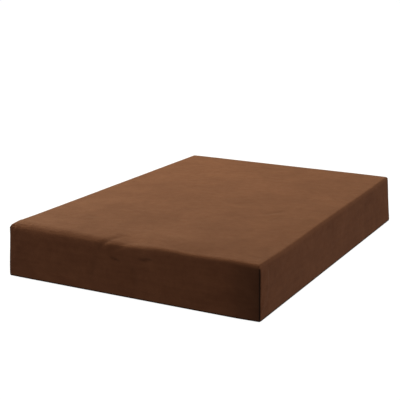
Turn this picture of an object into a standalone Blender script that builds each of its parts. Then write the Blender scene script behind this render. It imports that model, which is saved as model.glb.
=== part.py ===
"""Rectangular foam pet bed in a washable cover with a zip along one long side.

Metres, +Z up. The origin is the centre of the underside. X runs along the short side,
Y along the long side, and the zipped long side faces -X.
"""
import math

import bmesh
import bpy

MM = 0.001

# Driving dimensions
WIDTH = 914.4 * MM
LENGTH = 1320.8 * MM
HEIGHT = 177.8 * MM
HALF_X = WIDTH / 2
HALF_Y = LENGTH / 2
GAP = 0.3 * MM
ARC_STEPS = 6

# Cover
CLOTH = 1.5 * MM
CORNER_RADIUS = 14 * MM
TOP_RADIUS = 18 * MM
SMALLEST_RADIUS = 2 * MM
WALL_FOOT = CLOTH + GAP

# Seam allowances: the two cut edges of the cloth, sewn together and lying inside the cover
SEAM_THICKNESS = 2.8 * MM
SEAM_DEPTH = 8 * MM
CORNER_SEAM_FOOT = 12 * MM
CORNER_SEAM_HEAD = 158 * MM
BOTTOM_SEAM_HEAD = 11 * MM

# Foam
FOAM_INSET = 6 * MM
FOAM_CORNER_RADIUS = 22 * MM
FOAM_EDGE_ROUND = 14 * MM
SOFT_LAYER = 50.8 * MM
FOAM_FOOT = CLOTH + GAP
FOAM_HEAD = HEIGHT - CLOTH - GAP

# Zip, set into a slot in the -X wall. Its own X values are measured out from the wall's outer face.
ZIP_HEIGHT = 28 * MM
SLOT_HALF_WIDTH = 6.5 * MM
SLOT_HALF_LENGTH = HALF_Y - 60 * MM
CHAIN_HALF_GAP = 0.8 * MM
TAPE_WIDTH = 14.2 * MM
TAPE_THICKNESS = 0.8 * MM
TAPE_OVERLAP = 10 * MM
COIL_WIDTH = 2.6 * MM
END_TAB_LENGTH = 10 * MM
STOP_LENGTH = 3 * MM
COIL_HALF_LENGTH = SLOT_HALF_LENGTH - END_TAB_LENGTH - STOP_LENGTH - 3 * GAP

# Slider, modelled about its own centre with its closing end towards -Y
SLIDER_LENGTH = 13 * MM
SLIDER_HALF_WIDTH = 5 * MM
SLIDER_WALL = 1 * MM
FRONT_PLATE_THICKNESS = 1.6 * MM
FRONT_PLATE_LIFT = 0.4 * MM
FLANGE_DEPTH = 1.7 * MM
BACK_PLATE_THICKNESS = 1.2 * MM
BACK_PLATE_DEPTH = 3.6 * MM
WEB_LENGTH = 3 * MM
WEB_THICKNESS = 1 * MM
SLIDER_START_Y = -(COIL_HALF_LENGTH - SLIDER_LENGTH / 2 - 1 * MM)

# Bail on the slider, and the pull tab whose end bar turns inside it
BAIL_HALF_LENGTH = 3.4 * MM
BAIL_HALF_WIDTH = 1 * MM
BAIL_WALL = 0.8 * MM
BAIL_HEIGHT = 2.7 * MM
PULL_LIFT = 0.95 * MM
PULL_THICKNESS = 1.1 * MM
PULL_LENGTH = 24 * MM
PULL_HALF_WIDTH = 3.4 * MM
PULL_WINDOW_LENGTH = 4.45 * MM
PULL_WINDOW_HALF_WIDTH = 1.7 * MM

# Care label, sewn flat on the zipped wall
LABEL_SIZE = (0.4 * MM, 50 * MM, 35 * MM)
LABEL_Y = 495 * MM
LABEL_Z = 85 * MM

BROWN = (0.150, 0.068, 0.035)
DARK_BROWN = (0.060, 0.030, 0.018)


def clear_scene():
    for old in list(bpy.data.objects):
        bpy.data.objects.remove(old, do_unlink=True)


def make_material(name, colour, roughness, metallic=0.0):
    material = bpy.data.materials.new(name)
    material.use_nodes = True
    shader = material.node_tree.nodes["Principled BSDF"]
    shader.inputs["Base Color"].default_value = (*colour, 1)
    shader.inputs["Roughness"].default_value = roughness
    shader.inputs["Metallic"].default_value = metallic
    return material


def add_object(name, bm, material, location=(0, 0, 0)):
    """Turn a bmesh into a named object whose mesh is measured from its location."""
    bmesh.ops.recalc_face_normals(bm, faces=bm.faces)
    mesh = bpy.data.meshes.new(name)
    bm.to_mesh(mesh)
    bm.free()
    if material:
        mesh.materials.append(material)
    piece = bpy.data.objects.new(name, mesh)
    piece.location = location
    bpy.context.collection.objects.link(piece)
    return piece


def shade_round(piece):
    piece.data.shade_smooth()
    piece.data.set_sharp_from_angle(angle=math.radians(35))


def rounded_rectangle(half_x, half_y, radius):
    """Points of a rectangle with round corners, anticlockwise from above."""
    points = []
    centres = [(1, 1), (-1, 1), (-1, -1), (1, -1)]
    for quarter, (side_x, side_y) in enumerate(centres):
        for step in range(ARC_STEPS + 1):
            angle = math.pi / 2 * (quarter + step / ARC_STEPS)
            x = side_x * (half_x - radius) + radius * math.cos(angle)
            y = side_y * (half_y - radius) + radius * math.sin(angle)
            points.append((x, y))
    return points


def bed_ring(bm, inset, z, corner_radius):
    """One level ring of vertices, set in from the bed's outer faces."""
    radius = max(corner_radius, SMALLEST_RADIUS)
    outline = rounded_rectangle(HALF_X - inset, HALF_Y - inset, radius)
    return [bm.verts.new((x, y, z)) for x, y in outline]


def join_rings(bm, rings, closed=False):
    """Skin a list of rings. Open lists get a face over each end, closed ones run back to the start."""
    last = len(rings) if closed else len(rings) - 1
    for index in range(last):
        lower = rings[index]
        upper = rings[(index + 1) % len(rings)]
        for corner in range(len(lower)):
            following = (corner + 1) % len(lower)
            bm.faces.new((lower[corner], lower[following], upper[following], upper[corner]))
    if not closed:
        bm.faces.new(rings[0])
        bm.faces.new(rings[-1])


def edge_arc(inset, z, radius, rising):
    """Inset and height along a quarter round, from the wall to the flat above it or below it."""
    points = []
    for step in range(ARC_STEPS + 1):
        angle = math.pi / 2 * step / ARC_STEPS
        height = radius * math.sin(angle)
        points.append((inset + radius * (1 - math.cos(angle)), z + height if rising else z - height))
    return points


def add_box(name, material, low, high, location=(0, 0, 0)):
    """A box between two opposite corners."""
    bm = bmesh.new()
    bmesh.ops.create_cube(bm, size=1)
    for vert in bm.verts:
        for axis in range(3):
            vert.co[axis] = high[axis] if vert.co[axis] > 0 else low[axis]
    return add_object(name, bm, material, location)


def extrude_outline(bm, points, offset):
    """A prism: the outline given as 3-D points, moved along the offset."""
    face = bm.faces.new([bm.verts.new(point) for point in points])
    grown = bmesh.ops.extrude_face_region(bm, geom=[face])
    moved = [item for item in grown["geom"] if isinstance(item, bmesh.types.BMVert)]
    bmesh.ops.translate(bm, verts=moved, vec=offset)


def apply_tool(piece, tool, operation):
    """Cut or join a guide solid, which then stays as a hidden wire shape."""
    tool.hide_render = True
    tool.display_type = "WIRE"
    modifier = piece.modifiers.new(tool.name, "BOOLEAN")
    modifier.operation = operation
    modifier.solver = "EXACT"
    modifier.object = tool


# Cover -----------------------------------------------------------------------------------------

def shell_rings(bm, inset, z_top, radius):
    """Rings from the foot of the wall up and over the top edge."""
    levels = [(inset, WALL_FOOT)] + edge_arc(inset, z_top - radius, radius, rising=True)
    return [bed_ring(bm, level, z, CORNER_RADIUS - level) for level, z in levels]


def make_cover(material):
    """One cloth for the top and the four walls, open below, with a slot for the zip."""
    bm = bmesh.new()
    inner = shell_rings(bm, CLOTH, HEIGHT - CLOTH, TOP_RADIUS - CLOTH)
    outer = shell_rings(bm, 0, HEIGHT, TOP_RADIUS)
    join_rings(bm, inner[::-1] + outer)
    cover = add_object("cover_top_and_sides", bm, material)
    slot = add_box(
        "zip_slot_cutter",
        None,
        (-HALF_X - CLOTH, -SLOT_HALF_LENGTH, ZIP_HEIGHT - SLOT_HALF_WIDTH),
        (-HALF_X + 2 * CLOTH, SLOT_HALF_LENGTH, ZIP_HEIGHT + SLOT_HALF_WIDTH),
    )
    apply_tool(cover, slot, "DIFFERENCE")
    shade_round(cover)


def make_bottom_panel(material):
    bm = bmesh.new()
    rings = [bed_ring(bm, 0, z, CORNER_RADIUS) for z in (0, CLOTH)]
    join_rings(bm, rings)
    shade_round(add_object("cover_bottom_panel", bm, material))


def make_corner_seams(material):
    """Four upright seam allowances, each pointing in from a corner along its diagonal."""
    inner_radius = CORNER_RADIUS - CLOTH - GAP
    reach = math.sqrt(inner_radius ** 2 - (SEAM_THICKNESS / 2) ** 2)
    corners = {
        "front_left": (-1, -1),
        "front_right": (1, -1),
        "back_right": (1, 1),
        "back_left": (-1, 1),
    }
    for corner, (side_x, side_y) in corners.items():
        centre = (side_x * (HALF_X - CORNER_RADIUS), side_y * (HALF_Y - CORNER_RADIUS), 0)
        seam = add_box(
            "corner_seam_" + corner,
            material,
            (reach - SEAM_DEPTH, -SEAM_THICKNESS / 2, CORNER_SEAM_FOOT),
            (reach, SEAM_THICKNESS / 2, CORNER_SEAM_HEAD),
            centre,
        )
        seam.rotation_euler.z = math.atan2(side_y, side_x)


def make_bottom_seam(material):
    """Seam allowance that joins the walls to the bottom panel, standing up inside the walls."""
    outer_inset = CLOTH + GAP
    inner_inset = outer_inset + SEAM_THICKNESS
    section = [
        (outer_inset, WALL_FOOT),
        (outer_inset, BOTTOM_SEAM_HEAD),
        (inner_inset, BOTTOM_SEAM_HEAD),
        (inner_inset, WALL_FOOT),
    ]
    bm = bmesh.new()
    rings = [bed_ring(bm, inset, z, CORNER_RADIUS - inset) for inset, z in section]
    join_rings(bm, rings, closed=True)
    shade_round(add_object("bottom_seam", bm, material))


def make_care_label(material):
    thickness, length, height = LABEL_SIZE
    add_box(
        "care_label",
        material,
        (-thickness, -length / 2, -height / 2),
        (0, length / 2, height / 2),
        (-HALF_X - GAP, LABEL_Y, LABEL_Z),
    )


# Foam ------------------------------------------------------------------------------------------

def make_foam_layer(name, foot, head, material, round_foot=False, round_head=False):
    """A slab of foam, with its lower or upper edge rounded where it fills the cover's edge."""
    levels = [(FOAM_INSET, foot), (FOAM_INSET, head)]
    if round_foot:
        levels[0:1] = edge_arc(FOAM_INSET, foot + FOAM_INSET, FOAM_INSET, rising=False)[::-1]
    if round_head:
        levels[-1:] = edge_arc(FOAM_INSET, head - FOAM_EDGE_ROUND, FOAM_EDGE_ROUND, rising=True)
    bm = bmesh.new()
    rings = [bed_ring(bm, inset, z, FOAM_CORNER_RADIUS + FOAM_INSET - inset) for inset, z in levels]
    join_rings(bm, rings)
    shade_round(add_object(name, bm, material))


def make_foam(soft, firm):
    lower_joint = FOAM_FOOT + SOFT_LAYER
    upper_joint = FOAM_HEAD - SOFT_LAYER
    make_foam_layer("foam_layer_bottom", FOAM_FOOT, lower_joint, soft, round_foot=True)
    make_foam_layer("foam_core", lower_joint + GAP, upper_joint - GAP, firm)
    make_foam_layer("foam_layer_top", upper_joint, FOAM_HEAD, soft, round_head=True)


# Zip -------------------------------------------------------------------------------------------

def make_zip_tapes(tape, coil):
    """Two tapes behind the slot, each with its coil along the edge that faces the other."""
    tape_out = -HALF_X + CLOTH + GAP
    tape_half_length = SLOT_HALF_LENGTH + TAPE_OVERLAP
    for name, side in (("lower", -1), ("upper", 1)):
        chain_edge = ZIP_HEIGHT + side * CHAIN_HALF_GAP
        tape_edge = chain_edge + side * TAPE_WIDTH
        coil_edge = chain_edge + side * COIL_WIDTH
        add_box(
            "zip_tape_" + name,
            tape,
            (tape_out, -tape_half_length, min(chain_edge, tape_edge)),
            (tape_out + TAPE_THICKNESS, tape_half_length, max(chain_edge, tape_edge)),
        )
        add_box(
            "zip_coil_" + name,
            coil,
            (-HALF_X, -COIL_HALF_LENGTH, min(chain_edge, coil_edge)),
            (-HALF_X + CLOTH, COIL_HALF_LENGTH, max(chain_edge, coil_edge)),
        )


def make_zip_ends(metal, cloth):
    """Stops at both ends of the coils, and the cloth tabs that close the slot beyond them."""
    stop_near = COIL_HALF_LENGTH + GAP
    stop_far = stop_near + STOP_LENGTH
    coil_reach = CHAIN_HALF_GAP + COIL_WIDTH
    for name, side in (("lower", -1), ("upper", 1)):
        edges = sorted((ZIP_HEIGHT + side * CHAIN_HALF_GAP, ZIP_HEIGHT + side * coil_reach))
        add_box(
            "zip_top_stop_" + name,
            metal,
            (-HALF_X, -stop_far, edges[0]),
            (-HALF_X + CLOTH, -stop_near, edges[1]),
        )
    add_box(
        "zip_bottom_stop",
        metal,
        (-HALF_X, stop_near, ZIP_HEIGHT - coil_reach),
        (-HALF_X + CLOTH, stop_far, ZIP_HEIGHT + coil_reach),
    )
    tab_near = stop_far + GAP
    for name, side in (("front", -1), ("back", 1)):
        ends = sorted((side * tab_near, side * (SLOT_HALF_LENGTH - GAP)))
        add_box(
            "zip_end_tab_" + name,
            cloth,
            (-HALF_X, ends[0], ZIP_HEIGHT - SLOT_HALF_WIDTH + GAP),
            (-HALF_X + CLOTH, ends[1], ZIP_HEIGHT + SLOT_HALF_WIDTH - GAP),
        )


def add_prism(name, material, outline, offset, location):
    bm = bmesh.new()
    extrude_outline(bm, outline, offset)
    return add_object(name, bm, material, location)


def make_slider(metal):
    """Slider body: a front plate with two flanges, a back plate, the web between them and the bail."""
    centre = (-HALF_X, SLIDER_START_Y, ZIP_HEIGHT)
    half = SLIDER_LENGTH / 2
    plate_in = -FRONT_PLATE_LIFT
    plate_out = plate_in - FRONT_PLATE_THICKNESS
    flange_tip = plate_in + FLANGE_DEPTH
    wide = SLIDER_HALF_WIDTH
    narrow = wide - SLIDER_WALL
    section = [
        (plate_out, -wide),
        (flange_tip, -wide),
        (flange_tip, -narrow),
        (plate_in, -narrow),
        (plate_in, narrow),
        (flange_tip, narrow),
        (flange_tip, wide),
        (plate_out, wide),
    ]
    front = [(x, -half, z) for x, z in section]
    slider = add_prism("zip_slider_body", metal, front, (0, SLIDER_LENGTH, 0), centre)

    back_plate = add_box(
        "slider_back_plate_guide",
        None,
        (BACK_PLATE_DEPTH, -half, -narrow),
        (BACK_PLATE_DEPTH + BACK_PLATE_THICKNESS, half, narrow),
        centre,
    )
    overlap = SLIDER_WALL / 2
    web = add_box(
        "slider_web_guide",
        None,
        (plate_in - overlap, -half, -WEB_THICKNESS / 2),
        (BACK_PLATE_DEPTH + overlap, -half + WEB_LENGTH, WEB_THICKNESS / 2),
        centre,
    )
    bail_top = plate_out - BAIL_HEIGHT
    bail_foot = plate_out + overlap
    bore = BAIL_HALF_LENGTH - BAIL_WALL
    arch = [
        (bail_foot, -BAIL_HALF_LENGTH),
        (bail_top, -BAIL_HALF_LENGTH),
        (bail_top, BAIL_HALF_LENGTH),
        (bail_foot, BAIL_HALF_LENGTH),
        (bail_foot, bore),
        (bail_top + BAIL_WALL, bore),
        (bail_top + BAIL_WALL, -bore),
        (bail_foot, -bore),
    ]
    side = [(x, y, -BAIL_HALF_WIDTH) for x, y in arch]
    bail = add_prism("slider_bail_guide", None, side, (0, 0, 2 * BAIL_HALF_WIDTH), centre)
    for guide in (back_plate, web, bail):
        apply_tool(slider, guide, "UNION")


def make_pull(metal):
    """Pull tab with a window, so that its end bar turns under the bail. Its origin is on that bar."""
    hinge_x = -HALF_X - FRONT_PLATE_LIFT - FRONT_PLATE_THICKNESS - PULL_LIFT
    location = (hinge_x, SLIDER_START_Y, ZIP_HEIGHT)
    back = PULL_THICKNESS / 2
    chamfer = PULL_HALF_WIDTH / 2
    outline = [
        (-back, -PULL_HALF_WIDTH),
        (PULL_LENGTH - chamfer, -PULL_HALF_WIDTH),
        (PULL_LENGTH, -chamfer),
        (PULL_LENGTH, chamfer),
        (PULL_LENGTH - chamfer, PULL_HALF_WIDTH),
        (-back, PULL_HALF_WIDTH),
    ]
    side = [(-back, y, z) for y, z in outline]
    pull = add_prism("zip_pull_tab", metal, side, (PULL_THICKNESS, 0, 0), location)
    window = add_box(
        "pull_window_cutter",
        None,
        (-PULL_THICKNESS, back, -PULL_WINDOW_HALF_WIDTH),
        (PULL_THICKNESS, back + PULL_WINDOW_LENGTH, PULL_WINDOW_HALF_WIDTH),
        location,
    )
    apply_tool(pull, window, "DIFFERENCE")


def main():
    clear_scene()
    suede = make_material("brown_microsuede", BROWN, 0.9)
    underside = make_material("dark_underside_cloth", DARK_BROWN, 0.9)
    soft_foam = make_material("cream_soft_foam", (0.78, 0.70, 0.50), 0.95)
    firm_foam = make_material("white_firm_foam", (0.80, 0.80, 0.76), 0.95)
    tape = make_material("brown_zip_tape", DARK_BROWN, 0.85)
    coil = make_material("brown_zip_coil", DARK_BROWN, 0.4)
    metal = make_material("dark_zip_metal", (0.25, 0.22, 0.19), 0.4, 1.0)
    label = make_material("white_label_cloth", (0.80, 0.79, 0.76), 0.8)

    make_cover(suede)
    make_bottom_panel(underside)
    make_corner_seams(suede)
    make_bottom_seam(suede)
    make_foam(soft_foam, firm_foam)
    make_zip_tapes(tape, coil)
    make_zip_ends(metal, suede)
    make_slider(metal)
    make_pull(metal)
    make_care_label(label)


main()
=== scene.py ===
"""Looks of a foam pet bed in a brown microsuede cover with a zip along its hidden long side.

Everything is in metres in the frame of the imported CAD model. Lengths below are in millimetres
times MM. The cover is cloth, simulated over the foam and then creased at its seams.
"""
import math

import bpy
import numpy as np
from mathutils import Matrix, Vector
from mathutils.bvhtree import BVHTree


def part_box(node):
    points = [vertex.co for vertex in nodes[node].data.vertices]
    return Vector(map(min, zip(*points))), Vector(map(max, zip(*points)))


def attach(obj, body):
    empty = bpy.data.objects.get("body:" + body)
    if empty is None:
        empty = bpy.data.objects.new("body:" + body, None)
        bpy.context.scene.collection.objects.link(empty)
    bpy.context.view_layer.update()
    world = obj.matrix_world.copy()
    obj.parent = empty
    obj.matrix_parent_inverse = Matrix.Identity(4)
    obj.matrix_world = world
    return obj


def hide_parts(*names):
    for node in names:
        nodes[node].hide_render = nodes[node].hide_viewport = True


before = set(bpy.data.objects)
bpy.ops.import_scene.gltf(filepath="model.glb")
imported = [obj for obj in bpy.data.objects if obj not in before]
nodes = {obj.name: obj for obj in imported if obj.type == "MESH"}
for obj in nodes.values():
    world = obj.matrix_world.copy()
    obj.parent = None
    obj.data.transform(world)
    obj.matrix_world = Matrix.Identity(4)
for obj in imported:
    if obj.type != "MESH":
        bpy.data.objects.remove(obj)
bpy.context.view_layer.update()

MM = 0.001
cover_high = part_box("cover_top_and_sides")[1]
HALF_X, HALF_Y, HEIGHT = cover_high

# The zip's places come from the CAD nodes.
tab_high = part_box("zip_end_tab_back")[1]
slider_low, slider_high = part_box("zip_slider_body")
ZIP_Z = (slider_low.z + slider_high.z) / 2
SLOT_HALF = tab_high.z - ZIP_Z + 0.3 * MM
SLOT_END = tab_high.y + 0.3 * MM

# Cover. The foam crowns it a little above the CAD height, and the long walls lean in to the top.
CLOTH = 1.2 * MM
TOP = HEIGHT + 3.8 * MM
SIDE_RADIUS = 7 * MM
FRONT_ROLL_LEFT = (42 * MM, 36 * MM)
FRONT_ROLL_RIGHT = (9 * MM, 12 * MM)
BACK_ROLL = (10 * MM, 10 * MM)
ZIP_SIDE_ROLL = (13 * MM, 15 * MM)
OPEN_SIDE_ROLL = (6 * MM, 20 * MM)
LEAN_OPEN_FRONT = 3 * MM
LEAN_OPEN_BACK = 15.5 * MM
LEAN_ZIP_SIDE = 4.5 * MM
CENTRE_STEP = 21 * MM
CREASE_STEP = 10 * MM
CREASED_STRETCH = (-0.27, 0.15)
EDGE_STEPS = (0, 2, 5, 9, 14, 20, 28, 40, 56)
SEAM_DEPTH = 2.2 * MM
PINCH_DEPTH = 4 * MM
PINCH_REACH = 50 * MM
LIGHT_PINCH = 0.3
SEAM_HEAD = TOP - 15 * MM
HEM = 3.4 * MM
HEM_TOP = 9 * MM
HEM_CURL = 2.4 * MM
LIP_TURN = 1.1 * MM

# How long the cloth settles, how far it may move in mm, and how close counts as on its net
SETTLE_FRAMES = 24
SETTLE_MOST = (3, 3, 5)
ON_NET = 0.1 * MM

# Creases and hollows left where weight has lain. Points are on the sharp box, then lift and half
# width, all in millimetres.
CREASES = (
    (((-262, -660, 128), (-205, -660, 121), (-150, -660, 126)), 1.6, 10),
    (((-104, -660, 150), (-83, -660, 178), (-50, -600, 178)), -2.6, 12),
    (((-78, -660, 150), (-30, -660, 170), (14, -630, 178)), -2.0, 11),
    (((46, -660, 135), (70, -660, 139), (98, -660, 144)), -3.7, 7),
    (((44, -660, 151), (80, -660, 156), (126, -660, 154)), 2.6, 10),
    (((-60, -660, 131), (-40, -660, 126), (-20, -660, 119)), -3.3, 7),
    (((12, -660, 118), (33, -660, 76), (40, -660, 34)), -3.0, 20),
    (((-104, -660, 124), (-124, -660, 80), (-130, -660, 32)), -2.8, 20),
    (((-70, -660, 178), (0, -640, 178), (90, -660, 178)), -3.2, 44),
    (((-286, -440, 178), (-262, -446, 178), (-222, -468, 178)), -1.6, 9),
    (((-150, -560, 178), (-120, -545, 178), (-95, -555, 178)), 1.0, 9),
    (((240, -150, 178), (262, -112, 178), (288, -62, 178)), -2.0, 10),
    (((215, -200, 178), (262, -150, 178), (315, -100, 178)), 1.0, 16),
)

# Where the top edge has sunk or swollen: place, lift, and reach along x and y, in millimetres.
TOP_SWELLS = (
    (457, -450, -7.5, 90, 245),
    (-30, -660, -7.0, 120, 60),
    (245, -660, -6.0, 95, 70),
    (-457, -660, 2.5, 150, 110),
)

# Foam, zip and sewing
FOAM_INSET = 5.5 * MM
FOAM_CORNER = 30 * MM
FOAM_STEP = 24 * MM
COIL_PITCH = 1.5 * MM
COIL_WIRE = 0.27 * MM
COIL_TURN_POINTS = 9
COIL_OVERLAP = 0.2 * MM
STITCH = 3.0 * MM
STITCH_GAP = 1.1 * MM
THREAD = 0.32 * MM
STITCH_MARGIN = 3 * MM

METAL_NODES = (
    "zip_slider_body", "zip_pull_tab", "zip_top_stop_lower", "zip_top_stop_upper", "zip_bottom_stop"
)

# Suede colours, from worn nap to the painted shade in the seams, beside them, in creases and along the foot
SUEDE_DARK = (0.1160, 0.0386, 0.0162)
SUEDE_PALE = (0.1570, 0.0555, 0.0230)
SUEDE_FIBRE = (0.1870, 0.0710, 0.0310)
SUEDE_RUBBED = (0.2120, 0.0830, 0.0366)
SEAM_SHADE = (0.0160, 0.0058, 0.0026)


# Node materials -------------------------------

class Graph:
    """A Principled material and short calls that add its nodes."""

    def __init__(self, name, **sockets):
        self.material = bpy.data.materials.new(name)
        self.material.use_nodes = True
        self.tree = self.material.node_tree
        self.shader = self.tree.nodes["Principled BSDF"]
        for socket, value in sockets.items():
            self.shader.inputs[socket.replace("_", " ")].default_value = value
        self.coordinates = self.tree.nodes.new("ShaderNodeTexCoord").outputs["Object"]

    def node(self, kind, **settings):
        made = self.tree.nodes.new(kind)
        for key, value in settings.items():
            setattr(made, key, value)
        return made

    def link(self, output, socket):
        self.tree.links.new(output, socket)

    def stretched(self, scale):
        """Object coordinates in metres, multiplied along each axis."""
        mapping = self.node("ShaderNodeMapping")
        mapping.inputs["Scale"].default_value = scale
        self.link(self.coordinates, mapping.inputs["Vector"])
        return mapping.outputs["Vector"]

    def noise(self, scale, detail=3.0, roughness=0.5, distortion=0.0, stretch=(1, 1, 1)):
        made = self.node("ShaderNodeTexNoise")
        made.inputs["Scale"].default_value = scale
        made.inputs["Detail"].default_value = detail
        made.inputs["Roughness"].default_value = roughness
        made.inputs["Distortion"].default_value = distortion
        self.link(self.stretched(stretch), made.inputs["Vector"])
        return made.outputs["Fac"]

    def wave(self, scale, direction, distortion=0.0):
        made = self.node("ShaderNodeTexWave", bands_direction=direction)
        made.inputs["Scale"].default_value = scale
        made.inputs["Distortion"].default_value = distortion
        self.link(self.coordinates, made.inputs["Vector"])
        return made.outputs["Fac"]

    def attribute(self, name):
        return self.node("ShaderNodeAttribute", attribute_name=name).outputs["Fac"]

    def math(self, operation, first, second):
        made = self.node("ShaderNodeMath", operation=operation)
        for index, value in enumerate((first, second)):
            if isinstance(value, (int, float)):
                made.inputs[index].default_value = value
            else:
                self.link(value, made.inputs[index])
        return made.outputs[0]

    def between(self, value, low, high, out_low=0.0, out_high=1.0):
        made = self.node("ShaderNodeMapRange")
        sockets = ("From Min", "From Max", "To Min", "To Max")
        for socket, number in zip(sockets, (low, high, out_low, out_high)):
            made.inputs[socket].default_value = number
        self.link(value, made.inputs["Value"])
        return made.outputs["Result"]

    def mix(self, factor, first, second):
        """Colour mix of two colours or colour outputs."""
        made = self.node("ShaderNodeMix", data_type="RGBA")
        self.link(factor, made.inputs["Factor"])
        for socket, value in zip(("A", "B"), (first, second)):
            target = [s for s in made.inputs if s.name == socket and s.type == "RGBA"][0]
            if isinstance(value, tuple):
                target.default_value = (*value, 1)
            else:
                self.link(value, target)
        return [s for s in made.outputs if s.type == "RGBA"][0]

    def colour(self, output):
        self.link(output, self.shader.inputs["Base Color"])

    def roughness(self, output):
        self.link(output, self.shader.inputs["Roughness"])

    def bump(self, *layers):
        """Stacked bumps, each a height output with its distance in metres."""
        normal = None
        for height, distance in layers:
            made = self.node("ShaderNodeBump")
            made.inputs["Strength"].default_value = 1.0
            made.inputs["Distance"].default_value = distance
            self.link(height, made.inputs["Height"])
            if normal:
                self.link(normal, made.inputs["Normal"])
            normal = made.outputs["Normal"]
        self.link(normal, self.shader.inputs["Normal"])


def microsuede_material():
    """Brushed brown microfibre: the nap lies unevenly and is rubbed pale on edges. Painted shade darkens it
    in the seams, along the foot, beside the corner seams and in creases.
    """
    g = Graph("brown_microsuede", Sheen_Weight=0.12, Sheen_Roughness=0.45, Specular_IOR_Level=0.12)
    g.shader.inputs["Sheen Tint"].default_value = (1.0, 0.62, 0.38, 1)
    brushed = g.noise(5, detail=4, roughness=0.6, distortion=1.2)
    mottled = g.noise(38, detail=3, roughness=0.6, distortion=0.6)
    fibres = g.noise(900, detail=2, roughness=0.7)
    streaks = g.noise(30, detail=2, stretch=(0.25, 0.25, 2.5))
    nap = g.math("ADD", g.math("MULTIPLY", brushed, 0.45), g.math("MULTIPLY", mottled, 0.3))
    nap = g.math("ADD", nap, g.math("MULTIPLY", streaks, 0.25))
    body = g.mix(g.between(nap, 0.38, 0.62), SUEDE_DARK, SUEDE_PALE)
    blended = g.mix(g.between(fibres, 0.35, 0.9, 0.0, 0.5), body, SUEDE_FIBRE)
    rubbed = g.mix(g.between(g.attribute("edge"), 0.0, 1.0, 0.0, 0.35), blended, SUEDE_RUBBED)
    # Painted shade beside the corner seams and along the sunken creases
    with_painted_shade = g.mix(g.between(g.attribute("pinch"), 0.0, 1.0, 0.0, 0.5), rubbed, SEAM_SHADE)
    # Painted shade in the corner seams and along the foot of the walls
    g.colour(g.mix(g.attribute("seam_shade"), with_painted_shade, SEAM_SHADE))
    g.roughness(g.between(nap, 0.3, 0.7, 0.95, 0.8))
    g.bump((fibres, 0.25 * MM), (mottled, 0.5 * MM), (brushed, 1.2 * MM))
    return g.material


def thread_material():
    g = Graph("brown_sewing_thread", Sheen_Weight=0.2)
    twist = g.wave(900, "DIAGONAL")
    g.colour(g.mix(twist, (0.085, 0.038, 0.019), (0.155, 0.075, 0.040)))
    g.roughness(g.between(twist, 0, 1, 0.5, 0.75))
    g.bump((twist, 0.1 * MM))
    return g.material


def underside_material():
    """Tightly woven dark cloth with a little fluff and wear."""
    g = Graph("dark_underside_cloth", Sheen_Weight=0.15, Sheen_Roughness=0.5)
    warp = g.wave(320, "X", 0.3)
    weft = g.wave(320, "Y", 0.3)
    threads = g.math("MAXIMUM", warp, weft)
    scuffed = g.noise(6, detail=4, roughness=0.65)
    woven = g.mix(threads, (0.028, 0.015, 0.010), (0.060, 0.034, 0.022))
    g.colour(g.mix(g.between(scuffed, 0.5, 0.8, 0.0, 0.35), woven, (0.095, 0.062, 0.045)))
    g.roughness(g.between(scuffed, 0.3, 0.7, 0.92, 0.78))
    g.bump((threads, 0.25 * MM))
    return g.material


def foam_material(name, dark, pale, cell):
    """Open-cell foam, with larger and smaller bubbles cut open at the surface."""
    g = Graph(name, Specular_IOR_Level=0.2, Subsurface_Weight=0.15)
    g.shader.inputs["Subsurface Radius"].default_value = (2 * MM, 1.5 * MM, 1 * MM)
    cells = g.node("ShaderNodeTexVoronoi")
    cells.inputs["Scale"].default_value = 1 / cell
    g.link(g.coordinates, cells.inputs["Vector"])
    aged = g.noise(4, detail=3)
    holes = g.between(cells.outputs["Distance"], 0.1, 0.6)
    tone = g.math("MULTIPLY", holes, g.between(aged, 0.3, 0.7, 0.75, 1.0))
    g.colour(g.mix(tone, pale, dark))
    g.roughness(g.between(aged, 0, 1, 0.9, 1.0))
    g.bump((cells.outputs["Distance"], 0.6 * MM))
    return g.material


def tape_material():
    """Woven polyester zip tape with its lengthwise ribs."""
    g = Graph("brown_zip_tape", Sheen_Weight=0.2, Sheen_Roughness=0.4)
    ribs = g.wave(700, "Z")
    picks = g.wave(900, "Y", 0.2)
    worn = g.noise(40, detail=3)
    threads = g.math("MULTIPLY", ribs, picks)
    woven = g.mix(threads, (0.040, 0.019, 0.011), (0.085, 0.042, 0.024))
    g.colour(g.mix(g.between(worn, 0.5, 0.8, 0, 0.3), woven, (0.11, 0.06, 0.04)))
    g.roughness(g.between(threads, 0, 1, 0.85, 0.65))
    g.bump((threads, 0.15 * MM))
    return g.material


def nylon_material():
    g = Graph("brown_nylon_coil", Specular_IOR_Level=0.5, Coat_Weight=0.1)
    drawn = g.noise(400, detail=2, stretch=(1, 0.2, 1))
    g.colour(g.mix(drawn, (0.045, 0.021, 0.012), (0.095, 0.046, 0.026)))
    g.roughness(g.between(drawn, 0.3, 0.7, 0.28, 0.45))
    g.bump((drawn, 0.03 * MM))
    return g.material


def metal_material():
    """Zinc alloy with a dark plating that is scuffed through to a paler metal."""
    g = Graph("dark_zip_metal", Metallic=1.0)
    cast = g.noise(700, detail=4, roughness=0.6)
    scuffs = g.noise(260, detail=5, roughness=0.7, stretch=(1, 0.25, 1))
    plated = g.mix(cast, (0.13, 0.105, 0.085), (0.19, 0.155, 0.125))
    g.colour(g.mix(g.between(scuffs, 0.56, 0.72), plated, (0.46, 0.42, 0.37)))
    g.roughness(g.between(scuffs, 0.3, 0.7, 0.26, 0.5))
    g.bump((cast, 0.04 * MM), (scuffs, 0.03 * MM))
    return g.material


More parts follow.
